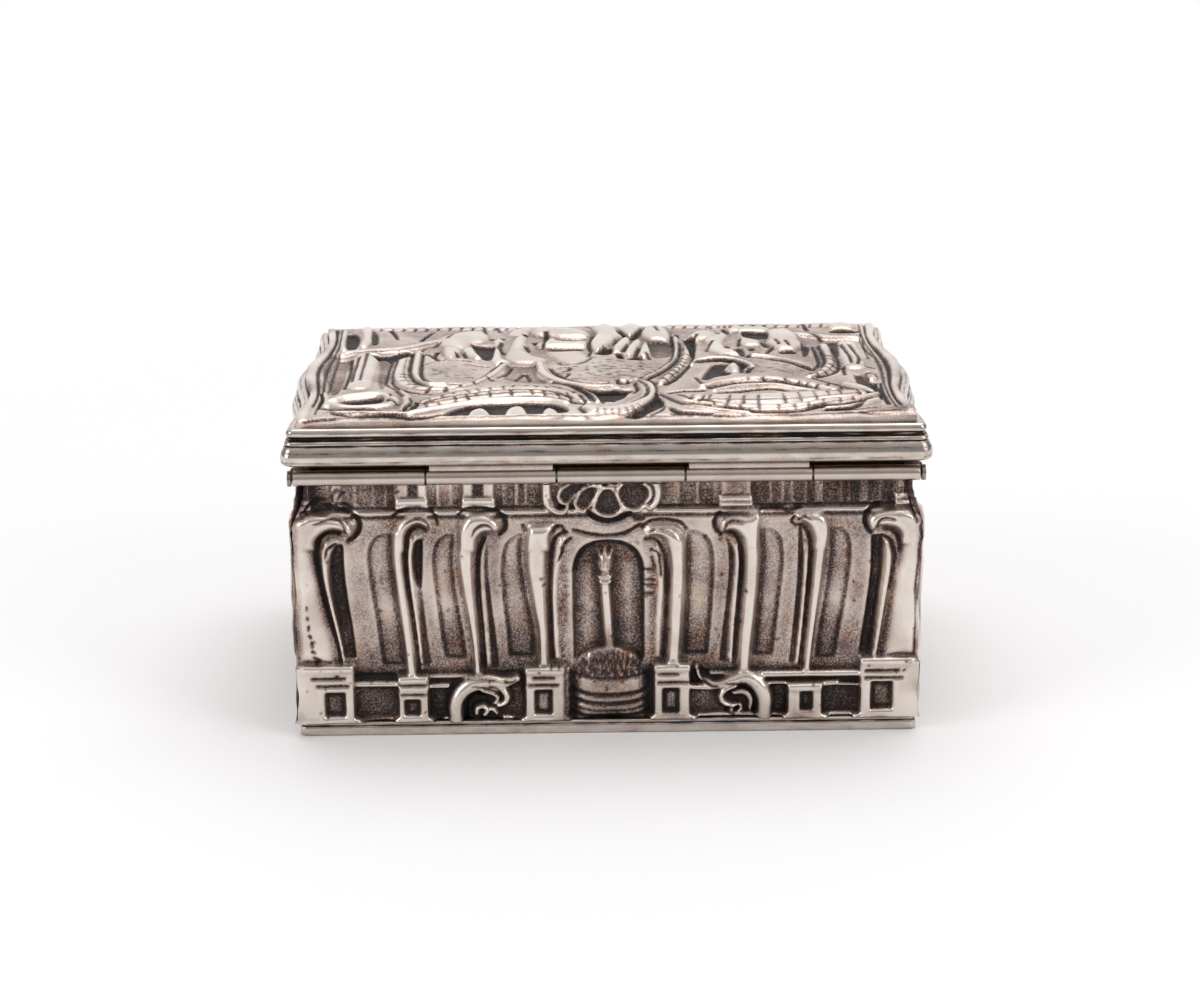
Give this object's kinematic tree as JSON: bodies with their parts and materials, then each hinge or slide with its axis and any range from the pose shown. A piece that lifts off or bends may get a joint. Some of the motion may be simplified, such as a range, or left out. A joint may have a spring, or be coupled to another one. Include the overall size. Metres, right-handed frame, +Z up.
{
  "type": "snuff box",
  "caption": "Rectangular hinged silver snuff box with cast architectural walls, a chased rocaille lid with serpentine sides and a full-width knuckle hinge.",
  "frame": {"origin": "middle of the underside, on the surface that the box stands on", "axes": "+X along the length, to the right as seen from the hinge side, +Y from the hinge side to the opening side, +Z up"},
  "size_m": [0.0772, 0.0535, 0.0396],
  "materials": {
    "worn_silver": "worn silver, bright on the relief and black in the recesses",
    "silver_gilt": "soft worn gilding",
    "hinge_wire": "drawn wire"
  },
  "bodies": {
    "box": {"base_plate": "silver_gilt", "bezel_back": "silver_gilt", "bezel_front": "silver_gilt", "bezel_left": "silver_gilt", "bezel_right": "silver_gilt", "body_knuckle_centre": "worn_silver", "body_knuckle_left": "worn_silver", "body_knuckle_right": "worn_silver", "body_rim_front": "worn_silver", "body_rim_left": "worn_silver", "body_rim_right": "worn_silver", "foot_rim_back": "worn_silver", "foot_rim_front": "worn_silver", "foot_rim_left": "worn_silver", "foot_rim_right": "worn_silver", "hinge_bearer_body": "worn_silver", "hinge_cap_left": "worn_silver", "hinge_cap_right": "worn_silver", "hinge_pin": "hinge_wire", "wall_back": "worn_silver", "wall_front": "worn_silver", "wall_left": "worn_silver", "wall_right": "worn_silver"},
    "lid": {"hinge_bearer_lid": "worn_silver", "lid_knuckle_left": "worn_silver", "lid_knuckle_right": "worn_silver", "lid_lining": "silver_gilt", "lid_moulding_back": "worn_silver", "lid_moulding_front": "worn_silver", "lid_moulding_left": "worn_silver", "lid_moulding_right": "worn_silver", "lid_plate": "worn_silver", "thumbpiece": "worn_silver"}
  },
  "joints": [
    {"name": "lid_hinge", "type": "hinge", "parent": "box", "child": "lid", "pos_m": [0, -0.0246, 0.03197], "axis": [1, 0, 0], "range_deg": [0, 110]}
  ]
}
